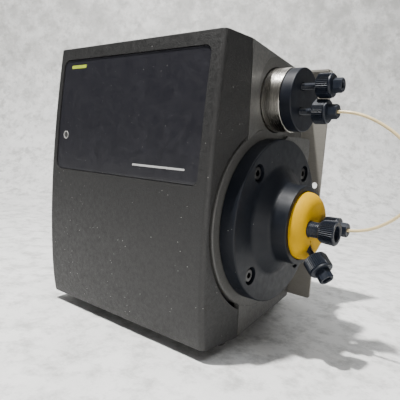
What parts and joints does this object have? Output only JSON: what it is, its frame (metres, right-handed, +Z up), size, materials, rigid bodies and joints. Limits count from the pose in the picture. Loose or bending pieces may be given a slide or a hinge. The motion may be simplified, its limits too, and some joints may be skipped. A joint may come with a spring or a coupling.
{
  "type": "laboratory liquid pump",
  "caption": "Compact bench pump for liquid chromatography: box housing, round side-mounted pump head with yellow manifold, pressure sensor and finger-tight tube fittings.",
  "frame": {"origin": "middle of the footprint, on the surface the feet stand on, measured without the capillary tube", "axes": "+Z up; the bowed front faces -Y; the pump head and sensor point along +X"},
  "size_m": [0.1961, 0.12, 0.1569],
  "materials": {
    "cover_plastic": "fine speckled texture, satin",
    "panel_film": "smooth overlay film, slightly glossy",
    "lamp_lens": "smoked lens",
    "housing_plastic": "fine texture, satin",
    "plate_steel": "dull olive-grey sheet",
    "panel_zinc": "zinc-plated sheet",
    "screw_steel": "satin",
    "foot_rubber": "matt",
    "head_black": "black anodised, satin",
    "manifold_yellow": "semi-gloss yellow",
    "wetted_steel": "turned",
    "seal_black": "matt",
    "piston_ceramic": "polished ceramic",
    "spring_steel": "drawn wire",
    "mechanism_aluminium": "machined",
    "bearing_steel": "ground",
    "belt_rubber": "matt",
    "motor_black": "black painted",
    "board_green": "solder mask",
    "module_black": "moulded",
    "connector_ivory": "moulded",
    "sensor_steel": "turned, satin",
    "cap_black": "satin",
    "fitting_black": "moulded, knurled grip",
    "tube_natural": "natural tan capillary"
  },
  "bodies": {
    "casing": {"front_cover": "cover_plastic", "overlay_panel": "panel_film", "status_light": "lamp_lens", "housing_shell": "housing_plastic", "mounting_plate": "plate_steel", "rear_panel": "panel_zinc", "plate_screw_1": "screw_steel", "plate_screw_2": "screw_steel", "plate_screw_3": "screw_steel", "plate_screw_4": "screw_steel", "foot_1": "foot_rubber", "foot_2": "foot_rubber", "foot_3": "foot_rubber", "foot_4": "foot_rubber", "pump_head_flange": "head_black", "head_screw_1": "screw_steel", "head_screw_2": "screw_steel", "head_screw_3": "screw_steel", "head_screw_4": "screw_steel", "manifold": "manifold_yellow", "cylinder_block": "wetted_steel", "inlet_valve": "wetted_steel", "outlet_valve": "wetted_steel", "inlet_seal": "seal_black", "outlet_seal": "seal_black", "mechanism_housing": "mechanism_aluminium", "front_bearing": "bearing_steel", "rear_bearing": "bearing_steel", "drive_belt": "belt_rubber", "motor": "motor_black", "chassis_plate": "mechanism_aluminium", "control_board": "board_green", "power_module": "module_black", "board_connector": "connector_ivory", "power_inlet": "module_black", "switch_frame": "module_black", "data_socket_1": "panel_zinc", "data_socket_2": "panel_zinc", "sensor_body": "sensor_steel", "sensor_cap": "cap_black", "outlet_tube": "tube_natural"},
    "drive": {"drive_shaft": "bearing_steel", "swash_plate": "bearing_steel", "driven_pulley": "mechanism_aluminium"},
    "motor_rotor": {"motor_shaft": "bearing_steel", "motor_pulley": "mechanism_aluminium"},
    "inlet_plunger": {"inlet_piston": "piston_ceramic", "inlet_piston_shoe": "bearing_steel", "inlet_spring": "spring_steel"},
    "outlet_plunger": {"outlet_piston": "piston_ceramic", "outlet_piston_shoe": "bearing_steel", "outlet_spring": "spring_steel"},
    "upper_sensor_fitting": {"sensor_nut_upper": "fitting_black"},
    "lower_sensor_fitting": {"sensor_nut_lower": "fitting_black"},
    "inlet_fitting": {"inlet_union": "fitting_black"},
    "outlet_fitting": {"outlet_nut": "fitting_black"},
    "plug_fitting": {"stop_plug": "fitting_black"},
    "power_rocker": {"rocker_switch": "module_black"}
  },
  "joints": [
    {"name": "drive_spin", "type": "hinge", "parent": "casing", "child": "drive", "pos_m": [-0.02015, -0.00681, 0.0658], "axis": [1, 0, 0], "continuous": true},
    {"name": "motor_spin", "type": "hinge", "parent": "casing", "child": "motor_rotor", "pos_m": [-0.02015, -0.00681, 0.1138], "axis": [1, 0, 0], "continuous": true},
    {"name": "inlet_piston_stroke", "type": "slide", "parent": "casing", "child": "inlet_plunger", "axis": [1, 0, 0], "range_m": [-0.0015, 0.0015]},
    {"name": "outlet_piston_stroke", "type": "slide", "parent": "casing", "child": "outlet_plunger", "axis": [1, 0, 0], "range_m": [-0.0015, 0.0015]},
    {"name": "upper_sensor_fitting_turn", "type": "hinge", "parent": "casing", "child": "upper_sensor_fitting", "pos_m": [0.06585, -0.006, 0.13565], "axis": [1, 0, 0], "range_deg": [0, 1080]},
    {"name": "lower_sensor_fitting_turn", "type": "hinge", "parent": "casing", "child": "lower_sensor_fitting", "pos_m": [0.06585, -0.006, 0.12315], "axis": [1, 0, 0], "range_deg": [0, 1080]},
    {"name": "inlet_fitting_turn", "type": "hinge", "parent": "casing", "child": "inlet_fitting", "pos_m": [0.07785, -0.01451, 0.0658], "axis": [1, 0, 0], "range_deg": [0, 1080]},
    {"name": "outlet_fitting_turn", "type": "hinge", "parent": "casing", "child": "outlet_fitting", "pos_m": [0.07585, 0.00089, 0.0658], "axis": [1, 0, 0], "range_deg": [0, 1080]},
    {"name": "plug_fitting_turn", "type": "hinge", "parent": "casing", "child": "plug_fitting", "pos_m": [0.06935, -0.0123, 0.055], "axis": [0.7071, -0.321, -0.63], "range_deg": [0, 1080]},
    {"name": "power_rocker_tilt", "type": "hinge", "parent": "casing", "child": "power_rocker", "pos_m": [-0.01215, 0.05249, 0.0385], "axis": [1, 0, 0], "range_deg": [-16, 0]}
  ],
  "couplings": [
    {"joint": "motor_spin", "follows": "drive_spin", "ratio": 2.5},
    {"joint": "outlet_piston_stroke", "follows": "inlet_piston_stroke", "ratio": -1}
  ]
}
